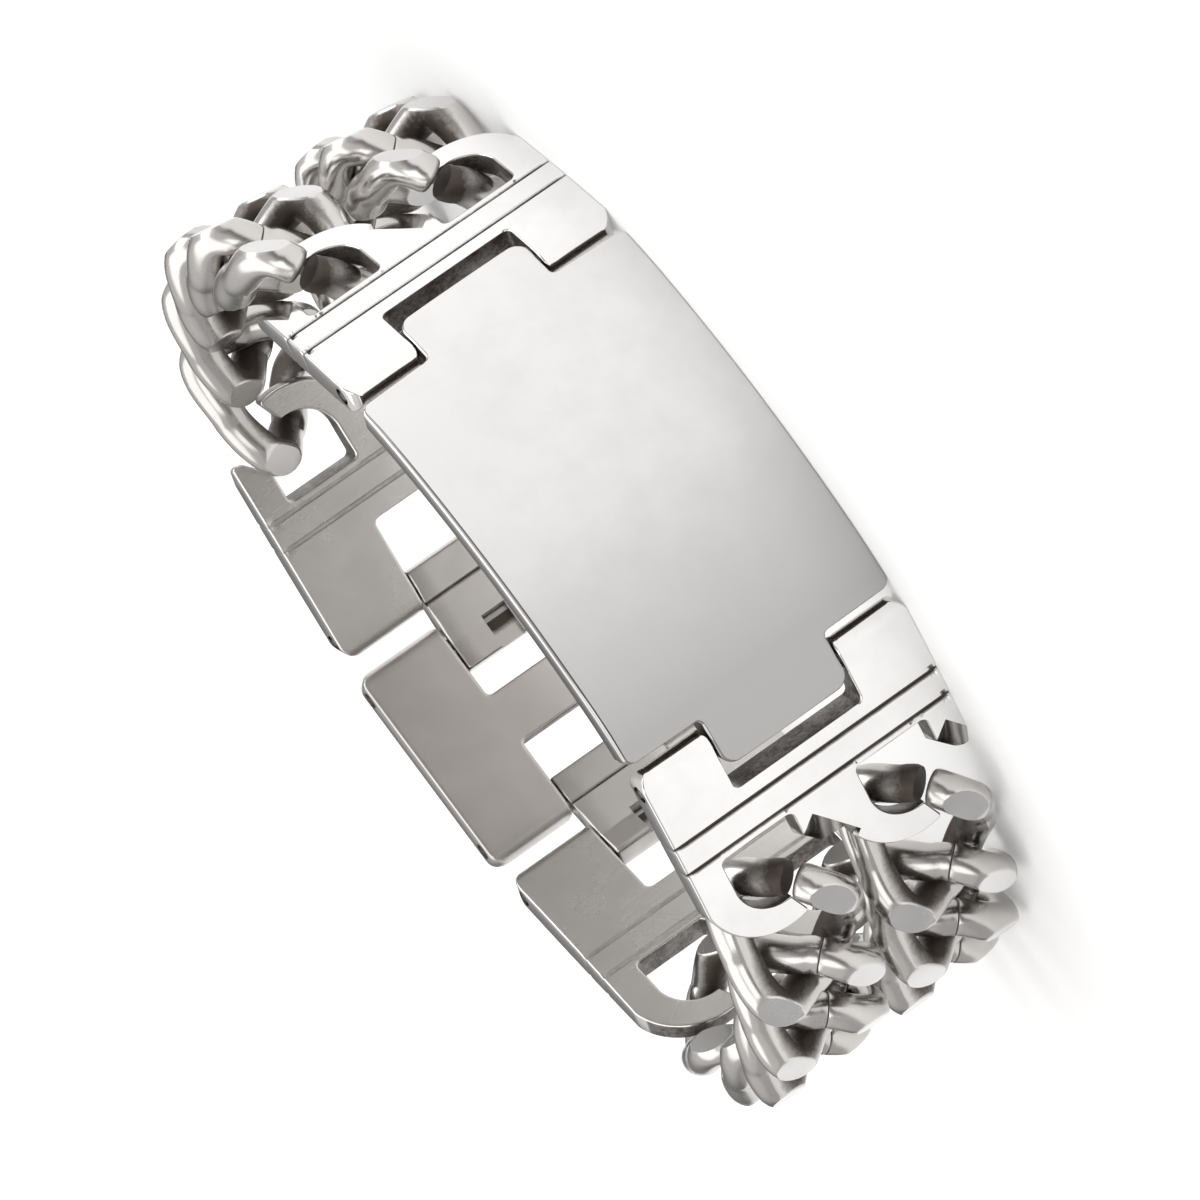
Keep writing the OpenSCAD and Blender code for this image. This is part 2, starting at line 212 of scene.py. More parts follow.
def plate_point(b, s, depth):
    """Points at arc length s along the plate's face and a depth below it: the middle is an arc
    of plate_radius, and past flat_half on each side it goes on as an arc of plate_end_radius."""
    mid = np.abs(s) <= b.flat_half
    turn = np.where(mid, s / b.plate_radius,
                    np.sign(s) * (np.radians(b.bend)
                                  + (np.abs(s) - b.flat_half) / b.plate_end_radius))
    radius = np.where(mid, b.plate_radius, b.plate_end_radius) - depth
    cx = np.where(mid, 0, np.sign(s) * b.end_c[0])
    cy = np.where(mid, b.mid_c[1], b.end_c[1])
    return np.stack([cx + radius * np.sin(turn), cy - radius * np.cos(turn)], 1)


# Outlines and surfaces, as whole arrays

def rows_to_unit(rows):
    """Each row divided by its length."""
    return rows / np.maximum(np.linalg.norm(rows, axis=-1, keepdims=True), 1e-9)


def filleted(corners, steps=9):
    """A closed outline from corners (x, y, radius): each corner turns into an arc that touches
    both of its sides, found by turning the arrow from the arc's centre from one to the other."""
    corners = np.asarray(corners, float)
    point, radius = corners[:, :2], corners[:, 2]
    to_prev, to_next = np.roll(point, 1, 0) - point, np.roll(point, -1, 0) - point
    room = 0.48 * np.minimum(np.linalg.norm(to_prev, axis=1), np.linalg.norm(to_next, axis=1))
    a, c = rows_to_unit(to_prev), rows_to_unit(to_next)
    half = np.arccos(np.clip((a * c).sum(1), -0.999999, 0.999999)) / 2
    cut = np.minimum(radius / np.tan(half), room)
    centre = point + rows_to_unit(a + c) * (cut / np.cos(half))[:, None]
    va, vc = point + a * cut[:, None] - centre, point + c * cut[:, None] - centre
    sweep = np.maximum(np.pi - 2 * half, 1e-5)[:, None, None]
    w = np.linspace(0, 1, steps)[None, :, None]
    arc = centre[:, None] + (np.sin((1 - w) * sweep) * va[:, None]
                             + np.sin(w * sweep) * vc[:, None]) / np.sin(sweep)
    outline = arc.reshape(-1, 2)
    return outline[np.linalg.norm(outline - np.roll(outline, 1, 0), axis=1) > 2e-3]


def spaced(outline, step):
    """The same closed outline with points added, so that no side is longer than step."""
    side = np.roll(outline, -1, 0) - outline
    parts = np.ceil(np.linalg.norm(side, axis=1) / step).astype(int)
    which = np.repeat(np.arange(len(outline)), parts)
    first = np.repeat(np.cumsum(parts) - parts, parts)
    share = (np.arange(parts.sum()) - first) / parts[which]
    return outline[which] + share[:, None] * side[which]


def inward(outline):
    """For each point of an anticlockwise outline, the mitred direction inwards, and how far
    the outline can move that way before an outward corner closes up."""
    side = np.roll(outline, -1, 0) - outline
    size = np.linalg.norm(side, axis=1)
    t = side / size[:, None]
    n = np.stack([-t[:, 1], t[:, 0]], 1)
    t0, n0, size0 = np.roll(t, 1, 0), np.roll(n, 1, 0), np.roll(size, 1)
    mitre = (n + n0) / (1 + (n * n0).sum(1))[:, None]
    turn = np.arctan2(t0[:, 0] * t[:, 1] - t0[:, 1] * t[:, 0], (t0 * t).sum(1))
    room = np.where(turn > 1e-3, (size + size0) / 2 / np.maximum(turn, 1e-3), 1e3)
    return mitre, room


def soft_limit(values, reach=3):
    """Lowest value within reach points on a closed line, then the mean over as many."""
    rolls = range(-reach, reach + 1)
    low = np.min([np.roll(values, k) for k in rolls], axis=0)
    return np.mean([np.roll(low, k) for k in rolls], axis=0)


def is_inside(points, ring):
    """Odd count of sides crossed on the way to the right."""
    x, y = points[:, :1], points[:, 1:]
    x1, y1 = ring.T
    x2, y2 = np.roll(ring, -1, 0).T
    rise = np.where(y2 == y1, 1e-12, y2 - y1)
    hit = ((y1 > y) != (y2 > y)) & (x < (x2 - x1) * (y - y1) / rise + x1)
    return hit.sum(1) % 2 == 1


def fill(ring, lattice, clear):
    """Triangles that fill a ring, with the lattice points that lie inside it, clear of it."""
    inner = lattice[is_inside(lattice, ring)]
    gap = np.array([np.linalg.norm(ring - p, axis=1).min() for p in inner])
    inner = inner[gap > clear]
    flat = np.vstack([ring, inner])
    _, _, tris, source, _, _ = delaunay_2d_cdt(flat.tolist(), [], [list(range(len(ring)))],
                                               1, 1e-7)
    first = np.array([s[0] for s in source])
    return inner, first[np.array(tris)]


def grid(us, vs):
    """Every pair of a value of us and one of vs."""
    u, v = np.meshgrid(us, vs, indexing="ij")
    return np.stack([u.ravel(), v.ravel()], 1)


def slab(outline, top, bottom, edge, lattice, clear=0.3, back_edge=None):
    """A closed body between the height surfaces top(u, v) and bottom(u, v) over an outline.
    Each rim is a quarter round: at turn a the ring lies edge(1 - cos a) inwards and
    edge(1 - sin a) below its face. edge and back_edge are sizes or functions of (u, v).
    Returns points (u, v, h), faces and a value per point that is 1 on the wall and falls to 0
    on the faces."""
    mitre, room = inward(outline)
    u, v = outline.T
    thick = top(u, v) - bottom(u, v)
    limit = np.minimum(0.45 * thick, 0.7 * room)
    rims = [soft_limit(np.maximum(np.minimum(e(u, v) if callable(e) else e, limit), 0))
            for e in (edge, back_edge or edge)]
    stay = np.maximum(soft_limit(np.minimum(RIM_STAY, 0.15 * room)), 0.01)
    inner_ring = outline + mitre * (np.maximum(*rims) + stay)[:, None]
    inner, tris = fill(inner_ring, lattice, clear)
    n = len(outline)
    points, wall = [], []
    for height, rim, sign in ((top, rims[0], 1), (bottom, rims[1], -1)):
        for turn in RIM_TURNS:
            ring = outline + mitre * (rim * (1 - np.cos(turn)))[:, None]
            drop = rim * (1 - np.sin(turn))
            points.append(np.column_stack([ring, height(*ring.T) - sign * drop]))
            wall.append(np.full(n, max(0.0, 1 - turn / 0.8)))
        points.append(np.column_stack([inner_ring, height(*inner_ring.T)]))
        points.append(np.column_stack([inner, height(*inner.T)]))
        wall += [np.zeros(n), np.zeros(len(inner))]
    rings = RIM_ROWS + 2
    per_side = rings * n + len(inner)
    j = np.arange(n)
    k = np.roll(j, -1)

    def band(low, high):
        return np.column_stack([low + j, low + k, high + k, high + j])

    faces = [band(per_side, 0)]
    for r in range(rings - 1):
        faces.append(band(r * n, (r + 1) * n))
        faces.append(band(per_side + (r + 1) * n, per_side + r * n))
    last = (rings - 1) * n
    face_list = [q for block in faces for q in block.tolist()]
    face_list += (tris + last).tolist() + (tris[:, ::-1] + last + per_side).tolist()
    return np.vstack(points), face_list, np.concatenate(wall)


def drum(centre, radius, low, high, ease, sides=32):
    """A round pin along z: its radius over its length, with each end eased by a quarter
    round, carried round the axis. Returns points and faces."""
    r = radius - ease * (1 - np.sin(DRUM_TURNS))
    z = ease * (1 - np.cos(DRUM_TURNS))
    radii = np.concatenate([r, r[::-1]])
    heights = np.concatenate([low + z, high - z[::-1]])
    turn = np.arange(sides) * 2 * np.pi / sides
    x = centre[0] + radii[:, None] * np.cos(turn)
    y = centre[1] + radii[:, None] * np.sin(turn)
    z = np.repeat(heights[:, None], sides, 1)
    points = np.stack([x, y, z], -1).reshape(-1, 3)
    return points, tube_faces(len(radii), sides, True)


def tube_faces(rings, sides, capped, closed=False):
    """Faces of a tube with that many rings and sides: four-sided between rings, and one
    many-sided face at each end where it is capped."""
    i = np.arange(rings if closed else rings - 1)[:, None]
    j = np.arange(sides)[None, :]
    i2, j2 = (i + 1) % rings, (j + 1) % sides
    quads = np.stack([i * sides + j, i * sides + j2, i2 * sides + j2, i2 * sides + j], -1)
    faces = quads.reshape(-1, 4).tolist()
    if capped:
        faces += [list(range(sides))[::-1], list(range((rings - 1) * sides, rings * sides))]
    return faces


# Putting a shape in its place

def placed(b, points, turned=False, flipped=False):
    """From the plan to the frame: flipped turns the shape over in z first, turned is half a
    turn about the depth axis, which gives the other side of the bracelet."""
    x, y, z = points.T
    z = -z if flipped else z
    if turned:
        x, z = -x, -z
    return np.column_stack([x, y + b.shift_y, z + b.half])


def on_line(points, start, degrees, outward):
    """Points (along, outward, z) set along a line in the plan from start at that angle.
    outward is 1 where the shape's outer side lies to the left of the line, and -1 to the
    right."""
    along, left = direction(degrees), direction(degrees + 90)
    xy = start + points[:, :1] * along + outward * points[:, 1:2] * left
    return np.column_stack([xy, points[:, 2]])


def make_piece(name, points, faces, finish, body, nodes, slot, **marks):
    """One mesh object at the origin from points in millimetres. marks are named values per
    point that its material reads. It rides on a body and stands for its CAD nodes."""
    mesh = bpy.data.meshes.new(name)
    mesh.from_pydata((points * MM).tolist(), [], faces)
    for key, values in marks.items():
        layer = mesh.attributes.new(key, "FLOAT", "POINT")
        layer.data.foreach_set("value", np.asarray(values, np.float32))
    work = bmesh.new()
    work.from_mesh(mesh)
    bmesh.ops.remove_doubles(work, verts=work.verts, dist=MERGE_WITHIN)
    bmesh.ops.dissolve_degenerate(work, edges=work.edges, dist=SHORTEST_EDGE)
    bmesh.ops.recalc_face_normals(work, faces=work.faces)
    work.to_mesh(mesh)
    work.free()
    mesh.polygons.foreach_set("use_smooth", np.ones(len(mesh.polygons), bool))
    mesh.set_sharp_from_angle(angle=SHARP)
    mesh.materials.append(finish)
    piece = bpy.data.objects.new(name, mesh)
    bpy.context.scene.collection.objects.link(piece)
    if body:
        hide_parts(*nodes)
        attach(piece, body)
    return piece


def cut_away(piece, points, faces, grime):
    """Takes one closed shape away from a piece, and keeps the result as the piece's mesh.
    grime is the mark on the cut faces."""
    cutter = make_piece("cutter", points, faces, piece.data.materials[0], None, (), "",
                        grime=np.full(len(points), grime), satin=np.zeros(len(points)))
    cut = piece.modifiers.new("cut", "BOOLEAN")
    cut.object, cut.operation, cut.solver = cutter, "DIFFERENCE", "EXACT"
    bpy.context.view_layer.update()
    view = bpy.context.evaluated_depsgraph_get()
    mesh = bpy.data.meshes.new_from_object(piece.evaluated_get(view))
    old, piece.data = piece.data, mesh
    piece.modifiers.clear()
    bpy.data.meshes.remove(old)
    mesh.name = piece.name
    mesh.set_sharp_from_angle(angle=SHARP)
    cutter_mesh = cutter.data
    bpy.data.objects.remove(cutter)
    bpy.data.meshes.remove(cutter_mesh)


def bore(piece, centre, b):
    """A round hole for a pin along z, through the whole band at that place in the frame."""
    points, faces = drum(centre, b.pin / 2 + RUN_GAP, -1.0, b.band_width + 1.0, 0.01, 28)
    # The hole's walls get the full dark film, painted shade in the hole.
    cut_away(piece, points, faces, 1.0)


# Finishes

class Value:
    """A socket with arithmetic: an expression on values adds its Math nodes."""

    def __init__(self, finish, socket):
        self.finish, self.socket = finish, socket

    def _math(self, operation, *others):
        inputs = dict(enumerate((self, *others)))
        return self.finish.node("ShaderNodeMath", {"operation": operation}, inputs)[0]

    def __add__(self, other):
        return self._math("ADD", other)

    __radd__ = __add__

    def __sub__(self, other):
        return self._math("SUBTRACT", other)

    def __rsub__(self, other):
        return (self * -1) + other

    def __mul__(self, other):
        return self._math("MULTIPLY", other)

    def highest(self, other):
        return self._math("MAXIMUM", other)


class Finish:
    """The nodes of a material or of the room around."""

    def __init__(self, owner):
        self.owner = owner
        owner.use_nodes = True
        self.tree = owner.node_tree
        self.tree.nodes.clear()

    def node(self, kind, settings=None, inputs=None):
        """Adds a node, sets it up, feeds its sockets and returns its outputs as values."""
        made = self.tree.nodes.new(kind)
        for key, value in (settings or {}).items():
            if key == "stops":
                ramp = made.color_ramp.elements
                for stop, (place, shade) in zip((ramp[0], ramp[1]), (value[0], value[-1])):
                    stop.position, stop.color = place, (shade, shade, shade, 1)
                for place, shade in value[1:-1]:
                    ramp.new(place).color = (shade, shade, shade, 1)
            else:
                setattr(made, key, value)
        for key, value in (inputs or {}).items():
            if isinstance(value, Value):
                self.tree.links.new(value.socket, made.inputs[key])
            else:
                made.inputs[key].default_value = value
        return [Value(self, out) for out in made.outputs]

    def named(self, kind, settings, inputs, output):
        """The output of a new node by its name."""
        made = self.node(kind, settings, inputs)
        return next(v for v in made if v.socket.name == output and v.socket.enabled)

    def place(self, scale=(1, 1, 1), turn=(0, 0, 0)):
        """Object coordinates, stretched and turned."""
        coords = self.named("ShaderNodeTexCoord", {}, {}, "Object")
        return self.named("ShaderNodeMapping", {}, {"Vector": coords, "Scale": scale,
                                                    "Rotation": turn}, "Vector")

    def noise(self, where, size, detail=2.0, rough=0.5, spread=0.0):
        """Smooth noise from 0 to 1 with spots about size millimetres wide."""
        return self.named("ShaderNodeTexNoise", {}, {
            "Vector": where, "Scale": 1 / (size * MM), "Detail": detail, "Roughness": rough,
            "Distortion": spread}, "Fac")

    def ramp(self, value, *stops):
        return self.node("ShaderNodeValToRGB", {"stops": stops}, {"Fac": value})[0]

    def mark(self, name):
        return self.named("ShaderNodeAttribute", {"attribute_name": name}, {}, "Fac")

    def mixed(self, share, first, second):
        """First colour where share is 0, second where it is 1."""
        return self.node("ShaderNodeMix", {"data_type": "RGBA"},
                         dict(zip(MIX_INPUTS, (share, first, second))))[MIX_RESULT]

    def bump(self, height, distance, strength, under=None):
        """A surface raised by height times distance millimetres, over the one under it."""
        inputs = {"Height": height, "Distance": distance * MM, "Strength": strength}
        if under:
            inputs["Normal"] = under
        return self.node("ShaderNodeBump", {}, inputs)[0]

    def shade(self, **inputs):
        """The main shader, its inputs by name, and the output."""
        shader = self.node("ShaderNodeBsdfPrincipled", {}, {
            key.replace("_", " "): value for key, value in inputs.items()})[0]
        self.node("ShaderNodeOutputMaterial", {}, {"Surface": shader})
        return self.owner


def steel(name, base, grime, gloss, haze, wave, brush=None, ground=1.0, painted_end_shade=1.0,
          warm=0.05):
    """Steel with a fine polish: long waves in the surface, hair scratches two ways, and a dark
    film where the mark grime says, mostly painted shade in grooves, holes, gaps and on the inner
    sides of the chain wire, and a real dark line at the welds. The mark satin dulls a face in
    worn patches and makes it ground times as light and warmer by warm, fade is how light the
    left end is painted, a painted shade, and brush is the way of brushed lines."""
    f = Finish(bpy.data.materials.new(name))
    here = f.place()
    shade_and_seam_mark, dull = f.mark("grime"), f.mark("satin")
    cloud = f.noise(here, 3.2, 4, 0.6)
    broad = f.noise(here, 26, 2, 0.4)
    fine = f.noise(here, 0.35, 3, 0.6)
    hair_a = f.noise(f.place((1, 1, 0.02), (0.3, 0.5, 0.2)), 0.08, 1, 0.4)
    hair_b = f.noise(f.place((0.02, 1, 1), (0.1, 0.4, 0.9)), 0.07, 1, 0.4)
    hairs = f.ramp(hair_a, (0.68, 0), (0.74, 1)).highest(f.ramp(hair_b, (0.69, 0), (0.75, 1)))
    worn = f.ramp(f.noise(here, 8, 3, 0.5, 0.5), (0.34, 0), (0.66, 1))
    # Painted shade: where this mark is high, with some noise, the steel turns to the dark film
    # colour, less metallic and rougher.
    edge = f.ramp(shade_and_seam_mark + (fine - 0.5) * 0.25 + (cloud - 0.5) * 0.4, (0.35, 0), (0.85, 1))
    dark, light, shaded_end_tint = (tuple(min(c * share, 1) for c in base[:3]) + (1,)
                             for share in (0.88, 1.04, painted_end_shade))
    dull_dark, dull_light = (
        tuple(min(c * ground * share * w, 1) for c, w in zip(base[:3], (1, 1 - warm / 2, 1 - warm)))
        + (1,) for share in (0.93, 1.08))
    tint = f.mixed(f.ramp(cloud * 0.3 + broad * 0.7, (0.36, 0), (0.62, 1)), dark, light)
    tint = f.mixed(dull, tint, f.mixed(worn, dull_dark, dull_light))
    # Painted shade: the steel is painted darker towards -X, down to fade times its colour past 16
    # mm from the middle.
    if painted_end_shade < 1:
        across = f.named("ShaderNodeSeparateXYZ", {}, {"Vector": here}, "X")
        tint = f.mixed(f.ramp(across * 25 + 0.5, (0.1, 1), (0.5, 0.12), (0.9, 0)), tint, shaded_end_tint)
    tint = f.mixed(edge, tint, tuple(grime))
    rough = gloss + (cloud - 0.5) * (gloss * 0.6) + hairs * 0.05 + edge * 0.28
    rough = rough + dull * haze * (worn * -0.35 + 1.15)
    relief = f.bump(f.noise(here, wave, 2, 0.4), 0.05, 0.35)
    shape = f.noise(here, 0.12, 2, 0.5) * 0.3 * (dull + 0.15) + hairs * -0.25
    if brush:
        lines = f.noise(f.place(brush), 0.09, 3, 0.6)
        rough = rough + lines * 0.10
        shape = shape + lines * 0.35 * (dull + 0.3)
    return f.shade(Base_Color=tint, Metallic=1.0 - edge * 0.55, Roughness=rough,
                   Normal=f.bump(shape, 0.004, 0.5, relief))


def finishes(scene):
    """The bracelet's five steels and the floor, made once."""
    made = {m.name: m for m in bpy.data.materials}
    if "polished_plate_steel" in made:
        return made
    c = scene.bracelet_finish
    for name, base, gloss, haze, wave, more in (
            # The plate's fade paints a shade over its end at -X.
            ("polished_plate_steel", c.steel, 0.05, 0.22, 9, {"painted_end_shade": 0.55}),
            ("bright_link_steel", c.bright, 0.06, 0.22, 9, {"ground": 0.77}),
            # The chain's flats are painted ground times as light, a painted highlight on the flats.
            ("mirror_chain_steel", c.chain, 0.22, 0.0, 6, {"ground": 1.1, "warm": -0.045}),
            ("satin_clasp_steel", c.satin, 0.14, 0.14, 6, {"brush": (1, 1, 0.03), "ground": 0.79}),
            ("pin_steel", c.pin, 0.3, 0.1, 3, {"brush": (1, 1, 0.05)})):
        made[name] = steel(name, base, c.grime, gloss, haze, wave, **more)
    f = Finish(bpy.data.materials.new("pale_floor"))
    here = f.place()
    cloud = f.noise(here, 60, 3, 0.5)
    shade = f.mixed(cloud, tuple(x * 0.985 for x in c.floor[:3]) + (1,), tuple(c.floor))
    made["pale_floor"] = f.shade(Base_Color=shade, Roughness=cloud * 0.05 + 0.6,
                                 Emission_Color=shade, Emission_Strength=0.22)
    return made


# Shapes of the pieces

def plate_shape(b):
    """The plate over its outline in arc length s and z: outer depth crown (z / half)^2."""
    end, side = b.shoulder + b.tongue, b.half
    right = [(b.shoulder, -side, 0.8), (b.shoulder, -b.tongue_half, 0.5),
             (end, -b.tongue_half, 1.25), (end, b.tongue_half, 1.25),
             (b.shoulder, b.tongue_half, 0.5), (b.shoulder, side, 0.8)]
    left = [(-x, -y, r) for x, y, r in right]
    outline = spaced(filleted(right + left), 0.4)

    def outer(s, z):
        return -b.crown * (z / b.half) ** 2

    def inner(s, z):
        return np.full_like(s, -b.plate_thick)

    def edge(s, z):
        return np.where(np.abs(z) > side - 0.05, 0.3, 0.22)

    step = 0.42
    lattice = grid(np.arange(-end, end, step), np.arange(-side, side, step))
    points, faces, wall = slab(outline, outer, inner, edge, lattice, 0.28, 0.2)
    s, z, h = points.T
    xy = plate_point(b, s, -h)
    # Painted shade: the walls of the shoulders and the tongue, which lie against the end links, are
    # painted dark; the long edges are not.
    grime = wall * np.where(np.abs(z) > side - 0.4, 0.0, 1.0)
    satin = np.clip((-h - b.plate_thick + 0.25) / 0.2, 0, 1)
    return np.column_stack([xy, z]), faces, grime, satin


def arc_of(centre, radius, start, stop, steps):
    """Outline corners without a fillet, at even turns round an arc."""
    turn = np.radians(np.linspace(start, stop, steps))
    return [(centre[0] + radius * np.cos(a), centre[1] + radius * np.sin(a), 0) for a in turn]


def hook(b, d, zc, top_turn):
    """One hook of an end link's outline: spur, straight side of the opening, round inside,
    blunt tip and round outside."""
    eye, spur_z = b.eye_start, zc - b.spur_z
    return [(d + 5, spur_z - 1.7, 0.4), (d + eye, spur_z, 0.3), (d, spur_z, 0.5),
            (d, zc + b.eye_half, 0.5), *arc_of((d + eye, zc), b.eye_half, 84, -8, 26),
            (d + 8.2, zc - 1.3, 0.3),
            *arc_of((d + b.hook_reach - b.hook_round, zc + 0.3), b.hook_round, -10, top_turn, 30)]


def end_link_shape(b, kind):
    """An end link along u from its pin, with z across: the outer face is an arch, the inner
    face thins towards the hooks by the square of u, and the ears end in a half round."""
    d, ear, notch, nh = kind.d, kind.ear, kind.notch, kind.notch_half
    reach = d + b.hook_reach
    ball = b.link_thick / 2
    grooves = (d - 3.1, d - 0.65)
    g, side = b.groove, b.half
    groove_depth, step, apart, rim = 0.3, 0.36, 0.14, 0.16

    def groove_ends(z, order):
        return [(u + o, z, 0) for u in grooves for o in (-g, 0, g)][::order]

    top_turn = np.degrees(np.arcsin((side - b.hook_z - 0.3) / b.hook_round))
    outline = [(-ear, -nh, 0.45), (-ear, -side, kind.corner), *groove_ends(-side, 1),
               (d + 5.13, -side, 0.5), *hook(b, d, -b.hook_z, 76),
               *hook(b, d, b.hook_z, top_turn), *groove_ends(side, -1),
               (-ear, side, kind.corner), (-ear, nh, 0.45), (notch, nh, 0.55), (notch, -nh, 0.55)]
    outline = spaced(filleted(outline), 0.33)

    def round_end(u):
        past = np.clip((-u - ear + ball) / ball, 0, 1)
        return ball * np.sqrt(np.maximum(0, 1 - past ** 2))

    def cross_grooves(u):
        return sum(groove_depth * np.clip(2 - np.abs(u - c) / g * 2, 0, 1) for c in grooves)

    def inner(u, z):
        thin = (b.link_thick - b.hook_thick) * (np.maximum(u, 0) / reach) ** 2
        return np.where(u < 0, -round_end(u), -ball + thin + 0.3 * cross_grooves(u))

    def outer(u, z):
        arch = ball + 0.3 * (1 - (2 * u / reach - 1) ** 2)
        return np.where(u < 0, round_end(u), arch) - cross_grooves(u)

    rounded = -ear + ball - ball * np.cos(np.linspace(0, np.pi / 2, 9))
    lines = np.concatenate([[u - g, u - g / 2, u, u + g / 2, u + g] for u in grooves])
    plain = np.arange(-0.2, reach, step)
    plain = plain[np.abs(plain[:, None] - lines).min(1) > apart]
    us = np.sort(np.concatenate([rounded[1:], plain, lines]))
    lattice = grid(us, np.arange(-side, side, step) + 0.1)
    points, faces, wall = slab(outline, outer, inner, rim, lattice, 0.2)
    u, z, h = points.T
    in_groove = cross_grooves(u) / groove_depth
    inside = np.where(u > 2.5, np.abs(z) < side - 0.3,
                      (np.abs(z) < nh + 0.3) & (u > -ear + 0.5))
    # Painted shade: the walls of the notch and of the openings inside the hooks are painted dark,
    # the outer walls only a little, and the cross grooves too, darker on the outer face.
    grime = np.maximum(wall * np.where(inside, 0.8, 0.1), in_groove * np.where(h > 0, 1, 0.5))
    satin = np.clip((inner(u, z) + 0.1 - h) / 0.08, 0, 1)
    return np.column_stack([u, h, z]), faces, grime, satin


def spur_cuts(b, kind):
    """Boxes that cut the ends of an end link's two spurs at a slant, in the link's own axes."""
    box = np.array([[x, y, z] for x in (0, 3) for y in (-1.5, 4) for z in (-4.2, 0.5)], float)
    tilt, spread = np.radians(-50.3), np.radians(45)
    x, y = (box[:, 0] * np.cos(spread) - box[:, 1] * np.sin(spread),
            box[:, 0] * np.sin(spread) + box[:, 1] * np.cos(spread))
    x, z = x * np.cos(tilt) + box[:, 2] * np.sin(tilt), box[:, 2] * np.cos(tilt) - x * np.sin(tilt)
    share = (kind.d + 4) / (kind.d + b.hook_reach)
    foot = -b.link_thick / 2 + (b.link_thick - b.hook_thick) * share ** 2
    return [np.column_stack([x + kind.d + b.eye_start, y + foot, z + zc - b.spur_z])
            for zc in (-b.hook_z, b.hook_z)]


BOX_FACES = [[0, 1, 3, 2], [4, 6, 7, 5], [0, 4, 5, 1], [2, 3, 7, 6], [0, 2, 6, 4], [1, 5, 7, 3]]


def centre_shape(b):
    """The clasp's centre link: a plate with half-round ends and a notch at each end."""
    half, bar, nh, side = b.centre_half, b.crossbar, b.notch_half, b.half
    ball = b.centre_thick / 2
    right = [(half, -side, 1.3), (half, -nh, 0.7), (bar, -nh, 0.45), (bar, nh, 0.45),
             (half, nh, 0.7), (half, side, 1.3)]
    outline = spaced(filleted(right + [(-x, -y, r) for x, y, r in right]), 0.35)

    def outer(x, z):
        past = np.clip((np.abs(x) - half + ball) / ball, 0, 1)
        return ball * np.sqrt(np.maximum(0, 1 - past ** 2))

    rounded = half - ball + ball * np.cos(np.linspace(0, np.pi / 2, 9)[:-1])
    us = np.concatenate([-rounded, np.arange(-half + ball + 0.3, half - ball - 0.2, 0.4), rounded])
    lattice = grid(np.sort(us), np.arange(-side, side, 0.4) + 0.1)
    points, faces, wall = slab(outline, outer, lambda x, z: -outer(x, z), 0.22, lattice, 0.24)
    x, z, h = points.T
    # Painted shade: the walls of the two notches, where the blades sit, are painted dark.
    grime = wall * np.where((np.abs(z) < nh + 0.3) & (np.abs(x) < half - 0.5), 0.8, 0.0)
    return np.column_stack([x, h + b.clasp_y, z]), faces, grime, np.clip(0.5 - h / ball, 0, 1)


def blade_shape(b):
    """A latch blade: its side profile carried along z. Near the snap end the middle of the
    inner side is pushed outwards to the floor of a slot."""
    w = b.notch_half - RUN_GAP
    t = b.blade_thick / 2
    barrel, bend, lean = t + 0.05, 17, 27
    hinge_end, line_at, lip, slot_floor = -1.5, 1.55, 2.7, -0.5
    bore_r = b.pin / 2 + 0.04
    snap = np.array([b.blade_pins, 0])
    ahead, up = direction(-bend), direction(90 - bend)
    foot = snap + bore_r * direction(-lean)
    wall = direction(90 - lean)
    wall_top = foot + (t - (foot - snap) @ up) / (wall @ up) * wall
    corner = t * np.tan(np.radians(bend / 2))
    throat = snap[0] - bore_r - 0.2
    profile = [(hinge_end, -t, 0.3), (line_at - 0.2, -t, 0.02), (line_at, -t + 0.22, 0.02),
               (line_at + 0.2, -t, 0.02), (b.blade_pins - corner, -t, 0.8),
               (*(snap + lip * ahead - t * up), 0.35), (*(snap + lip * ahead + t * up), 0.35),
               (*wall_top, 0.2), (*foot, 0), *arc_of(snap, bore_r, -40, -172, 14),
               (throat, 0.12, 0.1), (throat, t, 0.2), (1.0, t, 0.3),
               *arc_of((0, 0), barrel, 68, 160, 12), (hinge_end, 0.35, 0.3)]
    outline = spaced(filleted(profile, 6), 0.25)
    mitre, room = inward(outline)
    ease = soft_limit(np.minimum(0.22, 0.7 * room))[:, None]
    rel = outline - snap
    along, out = rel @ ahead, rel @ up
    in_slot = (along > -0.2) & (out < slot_floor)
    raised = outline + np.where(in_slot, slot_floor - out, 0)[:, None] * up
    rings, marks = [], []
    for a in DRUM_TURNS[::-1]:
        rings.append((outline + mitre * ease * (1 - np.cos(a)), w - ease[:, 0] * (1 - np.sin(a))))
        marks.append(np.zeros(len(outline)))
    plain_to, slot_half = 2.8, 1.15
    levels = [(outline, plain_to), (outline, slot_half), (raised, slot_half), (raised, 0.0)]
    slot_mark = np.where(in_slot, np.clip(1.9 - along, 0.1, 1), 0.0)
    for shape, z in levels:
        rings.append((shape, np.full(len(outline), z)))
        marks.append(slot_mark if shape is raised else np.zeros(len(outline)))
    rings += [(shape, -z) for shape, z in rings[-2::-1]]
    marks += marks[-2::-1]
    points = np.vstack([np.column_stack([xy, z]) for xy, z in rings])
    faces = tube_faces(len(rings), len(outline), True)
    line = np.clip(1 - np.abs(points[:, 0] - line_at) / 0.2, 0, 1) * (points[:, 1] < 0)
    channel = np.linalg.norm(points[:, :2] - snap, axis=1) < bore_r + 0.08
    # Painted shade: the slot's floor, the cross line on the inner side and the wall round the snap
    # pin are painted dark.
    grime = np.max([np.concatenate(marks), line, channel * 0.9], axis=0)
    satin = np.clip(0.5 - points[:, 1] / t, 0, 1)
    return points, faces, grime, satin


